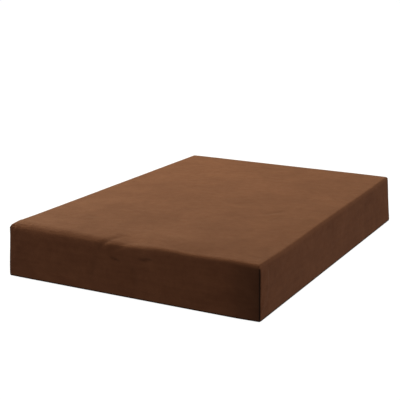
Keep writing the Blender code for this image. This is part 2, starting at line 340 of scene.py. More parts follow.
def label_material():
    """White satin-woven label cloth, blank."""
    g = Graph("white_label_cloth", Sheen_Weight=0.3, Sheen_Roughness=0.3)
    ribs = g.wave(1100, "Z", 0.2)
    soiled = g.noise(60, detail=4)
    woven = g.mix(ribs, (0.42, 0.40, 0.37), (0.54, 0.52, 0.48))
    g.colour(g.mix(g.between(soiled, 0.5, 0.8, 0, 0.4), woven, (0.38, 0.34, 0.29)))
    g.roughness(g.between(ribs, 0, 1, 0.7, 0.5))
    g.bump((ribs, 0.08 * MM))
    return g.material


# Mesh helpers ---------------------------------

def new_piece(name, parts, materials, body, replaces=()):
    """A piece from (vertices, faces) parts, each with the material in its own place in the list."""
    vertices, faces = join_parts(parts)
    marks = []
    for number, (_, polygons) in enumerate(parts):
        marks += [min(number, len(materials) - 1)] * len(polygons)
    mesh = bpy.data.meshes.new(name)
    mesh.from_pydata([tuple(map(float, point)) for point in vertices], [], faces)
    for material in materials:
        mesh.materials.append(material)
    mesh.polygons.foreach_set("material_index", marks)
    mesh.shade_smooth()
    piece = bpy.data.objects.new(name, mesh)
    bpy.context.collection.objects.link(piece)
    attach(piece, body)
    if replaces:
        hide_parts(*replaces)
    return piece


def thicken(piece, thickness, offset=-1):
    modifier = piece.modifiers.new("cloth_thickness", "SOLIDIFY")
    modifier.thickness = thickness
    modifier.offset = offset


def subdivide(piece):
    """One subdivision, applied, so that the cloth is smooth."""
    rounding = piece.modifiers.new("rounding", "SUBSURF")
    rounding.levels = 1
    rounding.render_levels = 1
    apply_modifiers(piece)
    piece.data.shade_smooth()


def join_parts(parts):
    vertices = []
    faces = []
    for points, polygons in parts:
        start = len(vertices)
        vertices += list(points)
        faces += [tuple(start + index for index in polygon) for polygon in polygons]
    return vertices, faces


def unit(vectors):
    return vectors / np.maximum(np.linalg.norm(vectors, axis=-1, keepdims=True), 1e-12)


def grid(rows, columns, place):
    """A sheet of quads: place(row, column) gives each point."""
    vertices = [place(row, column) for row in range(rows) for column in range(columns)]
    faces = []
    for row in range(rows - 1):
        for column in range(columns - 1):
            first = row * columns + column
            faces.append((first, first + 1, first + columns + 1, first + columns))
    return vertices, faces


def sweep(path, first_way, second_way, section, closed=False):
    """Carry a closed section along a path. Its points are measured along the two ways."""
    path = np.asarray(path, float)
    section = np.asarray(section, float)
    if section.ndim == 2:
        section = np.broadcast_to(section, (len(path), *section.shape))
    first_way = np.broadcast_to(first_way, path.shape)
    second_way = np.broadcast_to(second_way, path.shape)
    points = path[:, None] + first_way[:, None] * section[..., :1] + second_way[:, None] * section[..., 1:]
    count, sides = len(path), section.shape[1]
    faces = []
    for ring in range(count if closed else count - 1):
        here = ring * sides
        after = (ring + 1) % count * sides
        for side in range(sides):
            onward = (side + 1) % sides
            faces.append((here + side, here + onward, after + onward, after + side))
    if not closed:
        faces.append(tuple(range(sides - 1, -1, -1)))
        faces.append(tuple(range((count - 1) * sides, count * sides)))
    return points.reshape(-1, 3), faces


def tube(path, radius, guide, sides=6, closed=False):
    """A round strand along a path. The guide is any direction that the path never follows."""
    path = np.asarray(path, float)
    if closed:
        tangent = unit(np.roll(path, -1, axis=0) - np.roll(path, 1, axis=0))
    else:
        tangent = unit(np.gradient(path, axis=0))
    first_way = unit(np.cross(tangent, guide))
    second_way = np.cross(tangent, first_way)
    angles = np.arange(sides) * 2 * math.pi / sides
    circle = np.stack([np.cos(angles), np.sin(angles)], axis=1)
    radius = np.broadcast_to(radius, len(path))
    return sweep(path, first_way, second_way, circle[None] * radius[:, None, None], closed)


def stitch_row(start, end, outward):
    """A row of lockstitches: each rises from the cloth, lies along it and dips back in."""
    start, end, outward = (np.array(value, float) for value in (start, end, outward))
    length = np.linalg.norm(end - start)
    along = (end - start) / length
    count = max(1, round(length / (STITCH + STITCH_GAP)))
    reach = np.array([-0.5, -0.4, -0.15, 0.15, 0.4, 0.5]) * STITCH
    lift = np.array([-0.4, 0.1, 0.24, 0.24, 0.1, -0.4]) * MM
    parts = []
    for number in range(count):
        centre = start + (end - start) * (number + 0.5) / count
        path = centre + reach[:, None] * along + lift[:, None] * outward
        parts.append(tube(path, THREAD, np.cross(along, outward), sides=5))
    return join_parts(parts)


def mesh_points(mesh):
    points = np.empty(len(mesh.vertices) * 3, np.float32)
    mesh.vertices.foreach_get("co", points)
    return points.reshape(-1, 3).astype(float)


def set_points(mesh, points):
    mesh.vertices.foreach_set("co", points.astype(np.float32).ravel())
    mesh.update()


def smoothstep(low, high, value):
    t = np.clip((value - low) / (high - low), 0, 1)
    return t * t * (3 - 2 * t)


def apply_modifiers(piece):
    """Bake a piece's modifiers into its mesh."""
    graph = bpy.context.evaluated_depsgraph_get()
    shaped = piece.evaluated_get(graph)
    baked = bpy.data.meshes.new_from_object(shaped, preserve_all_data_layers=True, depsgraph=graph)
    piece.modifiers.clear()
    piece.data = baked


# Cover ----------------------------------------

def cuts_along(half, fine=(), extra=()):
    """Places of the cloth's grid lines along one side: close near the ends and in the fine stretch."""
    near = np.array(EDGE_STEPS) * MM
    inner = half - near[-1]
    stops = [-inner, *fine, inner]
    cuts = []
    for number, (start, end) in enumerate(zip(stops, stops[1:])):
        step = CREASE_STEP if fine and number == 1 else CENTRE_STEP
        cuts.append(np.linspace(start, end, round((end - start) / step) + 1)[1:])
    return np.sort(np.concatenate([near[:-1] - half, [-inner], *cuts, half - near[:-1], extra]))


def wall_heights():
    """Heights of the grid lines on the walls, from the top edge down to the turned-in hem."""
    roll = TOP - np.array(EDGE_STEPS[1:7]) * MM
    lip = np.array([4.0, 1.4, 0.5, 0.0]) * MM
    above_slot = ZIP_Z + SLOT_HALF + lip
    below_slot = ZIP_Z - SLOT_HALF - lip[::-1]
    count = round((roll[-1] - above_slot[0]) / (11 * MM))
    middle = np.linspace(roll[-1], above_slot[0], count + 1)[1:-1]
    hem = np.array([13 * MM, HEM_TOP, 6 * MM, 4.4 * MM, HEM])
    return np.concatenate([roll, middle, above_slot, below_slot, hem])


def box_net(xs, ys, lid, heights, closed=False):
    """A gridded box as points and quads: a lid, walls through the given heights and, if closed, a far lid."""
    across = len(xs)
    rows = len(ys)
    vertices, faces = grid(rows, across, lambda row, column: (xs[column], ys[row], lid))
    front = list(range(across))
    right = [row * across + across - 1 for row in range(1, rows)]
    back = [(rows - 1) * across + column for column in range(across - 2, -1, -1)]
    left = [row * across for row in range(rows - 2, 0, -1)]
    rim = front + right + back + left
    above = rim
    for height in heights:
        start = len(vertices)
        vertices += [(*vertices[index][:2], height) for index in rim]
        below = list(range(start, start + len(rim)))
        for index in range(len(rim)):
            following = (index + 1) % len(rim)
            faces.append((above[index], below[index], below[following], above[following]))
        above = below
    if closed:
        place = dict(zip(rim, above))
        for row in range(rows):
            for column in range(across):
                index = row * across + column
                if index not in place:
                    place[index] = len(vertices)
                    vertices.append((xs[column], ys[row], heights[-1]))
        lid_faces = faces[: (rows - 1) * (across - 1)]
        faces += [tuple(place[index] for index in reversed(face)) for face in lid_faces]
    return np.array(vertices), faces


def in_slot(points):
    """Points of the sharp net that lie on the zipped wall, within the slot."""
    on_wall = points[:, 0] < -HALF_X + ON_NET
    along = np.abs(points[:, 1]) < SLOT_END + ON_NET
    up = np.abs(points[:, 2] - ZIP_Z) < SLOT_HALF + ON_NET
    return on_wall & along & up


def ease_edge(points, axes, limits, radii):
    """Round a box's edges between two axes. Only what lies beyond the curve is pulled in."""
    kept = []
    shares = []
    for axis, limit, radius in zip(axes, limits, radii):
        core = limit - radius
        kept.append(np.minimum(np.abs(points[:, axis]), core))
        shares.append(np.maximum(np.abs(points[:, axis]) - core, 0) / radius)
    length = np.maximum(np.hypot(*shares), 1)
    for axis, radius, inside, share in zip(axes, radii, kept, shares):
        points[:, axis] = np.sign(points[:, axis]) * (inside + share / length * radius)
    return points


def lean_at(points):
    """How far the long walls have come in at each height, signed towards the middle."""
    up = np.clip(points[:, 2] / TOP, 0, 1)
    back = (points[:, 1] / HALF_Y + 1) / 2
    open_side = (LEAN_OPEN_FRONT + (LEAN_OPEN_BACK - LEAN_OPEN_FRONT) * back ** 3) * up
    zip_side = LEAN_ZIP_SIDE * up * up * (3 - 2 * up)
    return np.where(points[:, 0] > 0, -open_side, zip_side)


def lean_in(points):
    points[:, 0] += lean_at(points) * np.abs(points[:, 0]) / HALF_X
    return points


def swell_top(points):
    """Sink or raise the top around the places listed, and the walls below it in proportion."""
    near_top = smoothstep(0.35 * TOP, TOP, points[:, 2])
    for x, y, lift, reach_x, reach_y in TOP_SWELLS:
        across = (points[:, 0] - x * MM) / (reach_x * MM)
        along = (points[:, 1] - y * MM) / (reach_y * MM)
        points[:, 2] += lift * MM * np.exp(-across ** 2 - along ** 2) * near_top
    return points


def edge_rolls(net):
    """Width and depth of the roll over the top edges: of the short side, then of the long side."""
    across = smoothstep(-HALF_X, 0.6 * HALF_X, net[:, 0])
    front = [left + (right - left) * across for left, right in zip(FRONT_ROLL_LEFT, FRONT_ROLL_RIGHT)]
    short = [np.where(net[:, 1] < 0, roll, back) for roll, back in zip(front, BACK_ROLL)]
    sides = zip(ZIP_SIDE_ROLL, OPEN_SIDE_ROLL)
    long = [np.where(net[:, 0] < 0, zipped, plain) for zipped, plain in sides]
    return short, long


def soft_box(net):
    """The cover's net pulled round soft edges, with long walls that lean in towards the top."""
    points = net.copy()
    short, long = edge_rolls(net)
    ease_edge(points, (1, 2), (HALF_Y, TOP), short)
    ease_edge(points, (0, 2), (HALF_X, TOP), long)
    ease_edge(points, (0, 1), (HALF_X, HALF_Y), (SIDE_RADIUS, SIDE_RADIUS))
    return lean_in(swell_top(points))


def turn_hem(net, shaped):
    """The wall's foot curls in to the bottom seam, and the slot's lips turn in to the zip tape."""
    below = np.clip((HEM_TOP - net[:, 2]) / (HEM_TOP - HEM), 0, 1)
    curl = HEM_CURL * below ** 2.5
    shaped[:, 0] -= np.sign(net[:, 0]) * curl * (np.abs(net[:, 0]) > HALF_X - 1 * MM)
    shaped[:, 1] -= np.sign(net[:, 1]) * curl * (np.abs(net[:, 1]) > HALF_Y - 1 * MM)
    shaped[in_slot(net), 0] += LIP_TURN
    return shaped


def from_corner(net):
    """How far each point of the net is from the nearest upright corner, along the walls."""
    across = HALF_X - np.abs(net[:, 0])
    along = HALF_Y - np.abs(net[:, 1])
    return np.where(net[:, 2] < TOP - ON_NET, np.maximum(across, along), 1.0)


def add_group(piece, name, weights):
    group = piece.vertex_groups.new(name=name)
    for index in np.flatnonzero(weights > 0.001):
        group.add([int(index)], float(weights[index]), "REPLACE")
    return group.name


def simulate_cover(piece, net):
    """Let the cloth settle on the foam. It is cut a little large and its corner seams a little short."""
    rest = mesh_points(piece.data)
    pinned = 1 - smoothstep(12 * MM, 30 * MM, net[:, 2])
    around_slot = (net[:, 0] < -HALF_X + 1 * MM) & (net[:, 2] < ZIP_Z + SLOT_HALF + 6 * MM)
    pinned[around_slot] = 1
    seams = 1 - smoothstep(0, 24 * MM, from_corner(net))
    form = bpy.data.objects.new("foam_form", piece.data.copy())
    inner = rest.copy()
    inner[:, :2] *= 1 - 3 * MM / np.array([HALF_X, HALF_Y])
    inner[:, 2] -= 1.2 * MM
    set_points(form.data, inner)
    bpy.context.collection.objects.link(form)
    form.modifiers.new("solid", "COLLISION")
    form.collision.thickness_outer = 0.5 * MM
    form.collision.cloth_friction = 8

    cloth = piece.modifiers.new("cloth", "CLOTH")
    settings = cloth.settings
    settings.quality = 5
    settings.mass = 0.02
    settings.tension_stiffness = 12
    settings.compression_stiffness = 12
    settings.shear_stiffness = 4
    settings.bending_stiffness = 0.6
    settings.tension_damping = 6
    settings.compression_damping = 6
    settings.vertex_group_mass = add_group(piece, "pinned", pinned)
    settings.vertex_group_shrink = add_group(piece, "seams", seams)
    settings.shrink_min = 0.0
    settings.shrink_max = 0.012
    settings.use_pressure = True
    settings.uniform_pressure_force = 0.02
    settings.effector_weights.gravity = 0.4
    cloth.collision_settings.distance_min = 0.5 * MM
    cloth.collision_settings.use_self_collision = False
    scene = bpy.context.scene
    cloth.point_cache.frame_end = SETTLE_FRAMES
    for number in range(1, SETTLE_FRAMES + 1):
        scene.frame_set(number)
    apply_modifiers(piece)
    bpy.data.objects.remove(form)
    scene.frame_set(1)
    settled = mesh_points(piece.data)
    moved = settled - rest
    most = np.array(SETTLE_MOST) * MM
    set_points(piece.data, rest + most * np.tanh(moved / most))


def pinch_in(points):
    """Draw the short walls, and what is sewn to them, inwards beside their corner seams."""
    across = HALF_X - np.abs(points[:, 0])
    from_wall = HALF_Y - np.abs(points[:, 1])
    pinch = PINCH_DEPTH * np.exp(-(across / PINCH_REACH) ** 2)
    pinch *= 1 - smoothstep(SEAM_HEAD - 20 * MM, TOP, points[:, 2])
    pinch *= 1 - smoothstep(20 * MM, 70 * MM, from_wall)
    front_right = (points[:, 0] > 0) & (points[:, 1] < 0)
    points[:, 1] -= np.sign(points[:, 1]) * pinch * np.where(front_right, 1, LIGHT_PINCH)
    return points


def pull_seams(points, net):
    """Each corner's seam is drawn in with a slight wander, and draws in the short wall beside it."""
    distance = from_corner(net)
    side = np.sign(net[:, :2])
    height = smoothstep(0, 14 * MM, net[:, 2]) * (1 - smoothstep(SEAM_HEAD, TOP - 3 * MM, net[:, 2]))
    depth = SEAM_DEPTH * np.exp(-(distance / (2.4 * MM)) ** 2) * height
    depth *= 1 + 0.15 * np.sin(net[:, 2] / (17 * MM))
    points[:, :2] -= side * (depth / math.sqrt(2))[:, None]
    return pinch_in(points)


def on_short_wall(net):
    """1 on the front and back walls, blending to 0 just round their corners."""
    from_long_wall = HALF_X - np.abs(net[:, 0])
    from_short_wall = HALF_Y - np.abs(net[:, 1])
    return smoothstep(-6 * MM, 6 * MM, from_long_wall - from_short_wall)


def leave_creases(piece, net):
    """Push the cloth in or out along the creases, fading at their ends. Gives back painted shade along the
    sunken ones.
    """
    normals = np.empty(len(net) * 3, np.float32)
    piece.data.vertex_normals.foreach_get("vector", normals)
    push = np.zeros(len(net))
    painted_crease_shade = np.zeros(len(net))
    for places, lift, width in CREASES:
        stops = np.array(places, float) * MM
        stops[:, 2] = np.where(stops[:, 2] > HEIGHT - 1 * MM, TOP, stops[:, 2])
        nearest = np.full(len(net), 1.0)
        share = np.zeros(len(net))
        for number, (start, end) in enumerate(zip(stops, stops[1:])):
            way = end - start
            along = np.clip((net - start) @ way / (way @ way), 0, 1)
            distance = np.linalg.norm(net - start - along[:, None] * way, axis=1)
            closer = distance < nearest
            nearest[closer] = distance[closer]
            share[closer] = (number + along[closer]) / (len(stops) - 1)
        fade = 0.25 + 0.75 * np.sin(math.pi * share)
        push += lift * MM * fade * np.exp(-(nearest / (width * MM)) ** 2)
        # Sunken creases leave painted shade along their middle
        if lift < 0:
            narrow = np.exp(-(nearest / (0.6 * width * MM)) ** 2)
            painted_crease_shade = np.maximum(painted_crease_shade, min(1.0, -lift / width * 1.6) * fade * narrow)
    set_points(piece.data, mesh_points(piece.data) + normals.reshape(-1, 3) * push[:, None])
    return painted_crease_shade


def wear_attributes(mesh, net, painted_crease_shade):
    """Point attributes that the microsuede reads: painted shade in the seams and along the foot, painted
    shade beside the corner seams and in creases, and rubbed top edges.
    """
    distance = from_corner(net)
    upright = 1 - smoothstep(SEAM_HEAD, TOP - 5 * MM, net[:, 2])
    # Painted shade in each corner seam's groove, and along the foot where the hem curls under
    seam = np.exp(-(distance / (4.2 * MM)) ** 2) * upright
    foot = 1 - smoothstep(4 * MM, 9 * MM, net[:, 2])
    # Painted shade on the short walls beside the corner seams, a quarter as strong at the left-hand corners,
    # which face the light
    pinch = 0.65 * (1 - smoothstep(45 * MM, 130 * MM, distance)) + 0.35 * np.exp(-(distance / (25 * MM)) ** 2)
    pinch *= on_short_wall(net) * (1 - smoothstep(TOP - 16 * MM, TOP - 4 * MM, net[:, 2]))
    pinch = np.maximum(pinch * np.where(net[:, 0] < 0, 0.25, 1), painted_crease_shade)
    down = TOP - net[:, 2]
    inward = np.minimum(HALF_X - np.abs(net[:, 0]), HALF_Y - np.abs(net[:, 1]))
    edge = np.exp(-((down + inward) / (9 * MM)) ** 2)
    for name, values in (("seam_shade", np.maximum(seam, foot * 0.8)), ("pinch", pinch), ("edge", edge)):
        layer = mesh.attributes.new(name, "FLOAT", "POINT")
        layer.data.foreach_set("value", values.astype(np.float32))


def carry_net(mesh, net):
    """Keep each point's place on the sharp box through the subdivision."""
    layer = mesh.attributes.new("net", "FLOAT_VECTOR", "POINT")
    layer.data.foreach_set("vector", net.astype(np.float32).ravel())


def carried_net(mesh):
    layer = mesh.attributes["net"]
    net = np.empty(len(mesh.vertices) * 3, np.float32)
    layer.data.foreach_get("vector", net)
    mesh.attributes.remove(layer)
    return net.reshape(-1, 3).astype(float)


def make_cover(suede):
    slot_cuts = [side * (SLOT_END - back) for side in (-1, 1) for back in (0, 2.5 * MM)]
    across = cuts_along(HALF_X, CREASED_STRETCH)
    net, faces = box_net(across, cuts_along(HALF_Y, extra=slot_cuts), TOP, wall_heights())
    slot = in_slot(net)
    inside_slot = slot & (np.abs(net[:, 2] - ZIP_Z) < SLOT_HALF + 0.05 * MM)
    kept = [face for face in faces if not all(inside_slot[index] for index in face)]
    points = turn_hem(net, soft_box(net))
    cover = new_piece(
        "cover_cloth", [(points, kept)], [suede], "bed", ["cover_top_and_sides"]
    )
    simulate_cover(cover, net)
    carry_net(cover.data, net)
    subdivide(cover)
    net = carried_net(cover.data)
    set_points(cover.data, pull_seams(mesh_points(cover.data), net))
    painted_crease_shade = leave_creases(cover, net)
    wear_attributes(cover.data, net, painted_crease_shade)
    thicken(cover, CLOTH)
    return cover


def make_bottom(cloth):
    """The base cloth lies on the floor and turns up at its rim to the bottom seam."""
    across = cuts_along(HALF_X - 1.0 * MM)
    along = cuts_along(HALF_Y - 1.0 * MM)
    points, faces = grid(len(along), len(across), lambda row, column: (across[column], along[row], 0.0))
    points = np.array(points)
    inward = np.minimum(across[-1] - np.abs(points[:, 0]), along[-1] - np.abs(points[:, 1]))
    ease_edge(points, (0, 1), (across[-1], along[-1]), (SIDE_RADIUS, SIDE_RADIUS))
    rise = 1 - smoothstep(0, 7 * MM, inward)
    slack = np.sin(points[:, 0] * 31 + 1.5 * np.sin(points[:, 1] * 9)) * np.sin(points[:, 1] * 23)
    points[:, 2] = 0.25 * MM + 2.4 * MM * rise ** 1.5 + 0.2 * MM * (slack + 1) * (1 - rise)
    bottom = new_piece(
        "bottom_cloth", [(points, faces)], [cloth], "bed", ["cover_bottom_panel"]
    )
    subdivide(bottom)
    set_points(bottom.data, pinch_in(mesh_points(bottom.data)))
    thicken(bottom, 0.8 * MM, 1)


# Seam allowances ------------------------------

def seam_allowance(path, depth_way, side_way, depth, ripple_start, closed=False):
    """Two plies standing in from a seam, and the thread that binds their raw edges together."""
    path = np.asarray(path, float)
    depth_way = np.broadcast_to(depth_way, path.shape)
    side_way = np.broadcast_to(side_way, path.shape)
    run = np.arange(len(path))
    ripple = 0.25 * MM * np.sin(run * 0.9 + ripple_start)
    plies = []
    for sign in (-1, 1):
        inner = [(0.0, 0.05), (0.5 * depth, 0.12), (depth, 0.3)]
        outer = [(0.97 * depth, 1.15), (0.5 * depth, 1.1), (0.0, 1.0)]
        section = [(d, sign * w * MM) for d, w in inner + outer][::-sign]
        plies.append(sweep(path + side_way * ripple[:, None], depth_way, side_way, section, closed))
    round_edge = [(0.45, -1.5), (0.8, -1.5), (1.08, -0.6), (1.08, 0.6), (0.8, 1.5), (0.45, 1.5)]
    loops = []
    for index in range(len(path)):
        onward = path[(index + 1) % len(path)] if closed or index + 1 < len(path) else path[index]
        for step, (share, width) in enumerate(round_edge):
            spot = path[index] + (onward - path[index]) * step / len(round_edge)
            spot = spot + side_way[index] * (ripple[index] + width * MM)
            loops.append(spot + depth_way[index] * share * depth)
    forward = unit(np.gradient(path, axis=0))
    guide = np.repeat(forward, len(round_edge), axis=0)
    thread = tube(loops, 0.2 * MM, guide, sides=4, closed=closed)
    return join_parts(plies), thread


def make_corner_allowances(suede, thread):
    for name, side_x, side_y in (
        ("front_left", -1, -1),
        ("front_right", 1, -1),
        ("back_right", 1, 1),
        ("back_left", -1, 1),
    ):
        node = "corner_seam_" + name
        low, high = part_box(node)
        corner_x = side_x * (max(low.x * side_x, high.x * side_x) - 0.8 * MM)
        corner_y = side_y * (max(low.y * side_y, high.y * side_y) - 0.8 * MM)
        heights = np.arange(low.z, high.z, 3.2 * MM)
        path = np.array([(corner_x, corner_y, z) for z in heights])
        path = pinch_in(lean_in(path))
        inward = np.array([-side_x, -side_y, 0]) / math.sqrt(2)
        sideways = np.array([side_y, -side_x, 0]) / math.sqrt(2)
        parts = seam_allowance(path, inward, sideways, 7 * MM, side_x + 2 * side_y)
        new_piece("corner_allowance_" + name, parts, [suede, thread], "bed", [node])


def rounded_path(half_x, half_y, radius, step):
    """Even points round a rectangle with rounded corners, with the outward way at each."""
    points = []
    for side_x, side_y, start in ((1, 1, 0), (-1, 1, 90), (-1, -1, 180), (1, -1, 270)):
        centre_x = side_x * (half_x - radius)
        centre_y = side_y * (half_y - radius)
        for angle in np.radians(np.linspace(start, start + 90, 9)):
            points.append((centre_x + radius * math.cos(angle), centre_y + radius * math.sin(angle), 0))
    points = np.array(points)
    ends = np.roll(points, -1, axis=0)
    distance = np.concatenate([[0], np.cumsum(np.linalg.norm(ends - points, axis=1))])
    places = np.linspace(0, distance[-1], round(distance[-1] / step), endpoint=False)
    looped = np.vstack([points, points[:1]])
    even = np.stack([np.interp(places, distance, looped[:, axis]) for axis in range(3)], axis=1)
    onward = unit(np.roll(even, -1, axis=0) - np.roll(even, 1, axis=0))
    return even, np.cross(onward, (0, 0, 1))


def make_bottom_allowance(suede, thread):
    low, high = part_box("bottom_seam")
    path, outward = rounded_path(high.x - 1.4 * MM, high.y - 1.4 * MM, 9 * MM, 5.5 * MM)
    path[:, 2] = low.z + 1.6 * MM
    path = pinch_in(path)
    parts = seam_allowance(path, (0, 0, 1), outward, high.z - low.z - 2.2 * MM, 0.4, closed=True)
    new_piece("bottom_allowance", parts, [suede, thread], "bed", ["bottom_seam"])


# Foam -----------------------------------------

def make_foam_block(name, node, material, top_roll, foot_roll):
    """A block cut from foam sheet, with its edges eased and its upright corners rounded."""
    low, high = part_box(node)
    half = (HALF_X - FOAM_INSET, HALF_Y - FOAM_INSET)
    edge = np.array([0, 3, 8, 14, 22, 34]) * MM
    cuts = []
    for reach in half:
        count = round(2 * (reach - edge[-1]) / FOAM_STEP)
        middle = np.linspace(edge[-1] - reach, reach - edge[-1], count + 1)
        cuts.append(np.concatenate([edge[:-1] - reach, middle, (reach - edge[:-1])[::-1]]))
    upper = high.z - np.array([2.5, 6, 10, 15]) * MM
    lower = low.z + np.array([8, 4, 1.5, 0]) * MM
    middle = np.linspace(upper[-1], lower[0], 4)[1:-1]
    points, faces = box_net(*cuts, high.z, np.concatenate([upper, middle, lower]), closed=True)
    centre = (low.z + high.z) / 2
    points[:, 2] -= centre
    rolls = np.where(points[:, 2] > 0, top_roll, foot_roll)
    for roll in (top_roll, foot_roll):
        chosen = rolls == roll
        part = points[chosen]
        for axis in (0, 1):
            ease_edge(part, (axis, 2), (half[axis], high.z - centre), (roll, roll))
        ease_edge(part, (0, 1), half, (FOAM_CORNER, FOAM_CORNER))
        points[chosen] = part
    points[:, 2] += centre
    points = lean_in(swell_top(points))
    block = new_piece(name, [(points, faces)], [material], "bed", [node])


def make_foam():
    soft = foam_material("pale_soft_foam", (0.42, 0.36, 0.25), (0.80, 0.73, 0.56), 3.0 * MM)
    firm = foam_material("grey_firm_foam", (0.20, 0.21, 0.23), (0.45, 0.47, 0.50), 2.2 * MM)
    make_foam_block("foam_block_top", "foam_layer_top", soft, 30 * MM, 2 * MM)
    make_foam_block("foam_block_middle", "foam_core", firm, 2 * MM, 3 * MM)
    make_foam_block("foam_block_bottom", "foam_layer_bottom", soft, 2 * MM, 5 * MM)


# Zip ------------------------------------------

def make_tape(name, node, material):
    """Woven tape: slightly slack between its stitches, with a corded edge beside the coil."""
    low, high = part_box(node)
    across = np.linspace(0, 1, 9)
    toward_coil = 1 if high.z < ZIP_Z else -1
    rows = round((high.y - low.y) / (6 * MM))

    def place(row, column):
        y = low.y + (high.y - low.y) * row / (rows - 1)
        share = across[column]
        z = low.z + (high.z - low.z) * share
        edge = share if toward_coil > 0 else 1 - share
        corded = 0.25 * MM * math.exp(-((edge - 0.95) / 0.05) ** 2)
        slack = 0.12 * MM * math.sin(row * 0.37) * (1 - edge)
        return (low.x + 0.2 * MM + slack - corded, y, z)

    tape = new_piece(name, [grid(rows, len(across), place)], [material], "bed", [node])
    thicken(tape, 0.5 * MM)


def make_coil(name, node, nylon, thread, side):
    """One half of the zip's nylon coil, its teeth between those of the other, over a filler cord."""
    low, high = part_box(node)
    tip = ZIP_Z - side * COIL_OVERLAP
    back = high.z if side > 0 else low.z
    turns = (high.y - low.y - 2 * COIL_WIRE) / COIL_PITCH
    steps = int(turns * COIL_TURN_POINTS)
    angle = np.arange(steps) * 2 * math.pi / COIL_TURN_POINTS + (0 if side > 0 else math.pi)
    reach = abs(back - tip) / 2 - COIL_WIRE
    towards_tip = np.cos(angle)
    squared = np.sign(towards_tip) * np.abs(towards_tip) ** 0.7
    outward = np.sin(angle)
    centre_x = (low.x + high.x) / 2
    radius_x = (high.x - low.x) / 2 - COIL_WIRE
    path = np.stack(
        [
            centre_x - radius_x * outward,
            low.y + COIL_WIRE + COIL_PITCH * np.arange(steps) / COIL_TURN_POINTS,
            (tip + back) / 2 - side * reach * squared,
        ],
        axis=1,
    )
    heads = COIL_WIRE * (1 + 0.2 * np.clip(towards_tip, 0, 1) ** 4)
    strand = tube(path, heads, (0, 1, 0), sides=5)
    cord_path = [(centre_x, y, (tip + back) / 2 + side * 0.3 * MM) for y in np.linspace(low.y, high.y, 60)]
    cord = tube(cord_path, 0.3 * MM, (0, 0, 1), sides=6)
    new_piece(name, [strand, cord], [nylon, thread], "bed", [node])


def make_end_tab(name, node, suede, thread):
    """A folded scrap of the cover's cloth, sewn over the end of the zip."""
    low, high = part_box(node)
    xs = np.linspace(low.y, high.y, 9)
    ys = np.linspace(low.z, high.z, 11)
    thickness = high.x - low.x
    net, faces = box_net(xs, ys, thickness, [thickness * 0.66, thickness * 0.33, 0.0], closed=True)
    middle = np.array([(low.y + high.y) / 2, (low.z + high.z) / 2, 0])
    reach = ((high.y - low.y) / 2, (high.z - low.z) / 2)
    shaped = net - middle
    for axis in (0, 1):
        ease_edge(shaped, (axis, 2), (reach[axis], thickness), (0.7 * MM, 0.7 * MM))
    ease_edge(shaped, (0, 1), reach, (1.4 * MM, 1.4 * MM))
    quilting = np.cos(shaped[:, 1] / reach[1] * math.pi)
    shaped[:, 2] -= 0.2 * MM * quilting * (net[:, 2] > thickness / 2)
    shaped += middle
    points = np.stack([high.x - shaped[:, 2], shaped[:, 0], shaped[:, 1]], axis=1)
    rows = []
    for share in (0.2, 0.8):
        y = low.y + (high.y - low.y) * share
        rows.append(stitch_row((low.x, y, low.z + 1 * MM), (low.x, y, high.z - 1 * MM), (-1, 0, 0)))
    parts = [(points, [face[::-1] for face in faces]), join_parts(rows)]
    new_piece(name, parts, [suede, thread], "bed", [node])


def make_topstitching(thread):
    """Two rows of stitches along the zip opening, closed off across both of its ends."""
    rows = []
    edge = SLOT_HALF + STITCH_MARGIN
    end = SLOT_END + STITCH_MARGIN
    for side in (-1, 1):
        z = ZIP_Z + side * edge
        x = -HALF_X + LEAN_ZIP_SIDE * float(smoothstep(0.0, TOP, z))
        rows.append(stitch_row((x, -end, z), (x, end, z), (-1, 0, 0)))
        low = (-HALF_X + 0.4 * MM, side * end, ZIP_Z - edge)
        high = (-HALF_X + 0.4 * MM, side * end, ZIP_Z + edge)
        rows.append(stitch_row(low, high, (-1, 0, 0)))
    new_piece("zip_topstitching", [join_parts(rows)], [thread], "bed", ())


def finish_metal(metal):
    """The cast slider, pull and stops keep their CAD shape, with their edges eased."""
    for name in METAL_NODES:
        node = nodes[name]
        easing = node.modifiers.new("eased_edges", "BEVEL")
        easing.width = 0.22 * MM
        easing.segments = 3
        easing.limit_method = "ANGLE"
        easing.harden_normals = True
        node.data.materials.clear()
        node.data.materials.append(metal)


def make_pull_grip(metal):
    """Low ribs across the outer face of the pull tab, for the fingers."""
    low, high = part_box("zip_pull_tab")
    half = (high.z - low.z) / 2 - 0.8 * MM
    arc = np.radians(np.linspace(0, 180, 7))
    ribs = []
    for number in range(6):
        y = high.y - (3 + 2.2 * number) * MM
        section = [(0.5 * MM * math.cos(a), 0.3 * MM * math.sin(a)) for a in arc]
        path = [(low.x + 0.02 * MM, y, ZIP_Z + half * share) for share in (-1, -0.8, 0.8, 1)]
        scale = np.array([0.3, 1, 1, 0.3])[:, None, None]
        ribs.append(sweep(path, (0, 1, 0), (-1, 0, 0), np.array(section)[None] * scale))
    new_piece("zip_pull_grip", [join_parts(ribs)], [metal], "zip_pull", ())


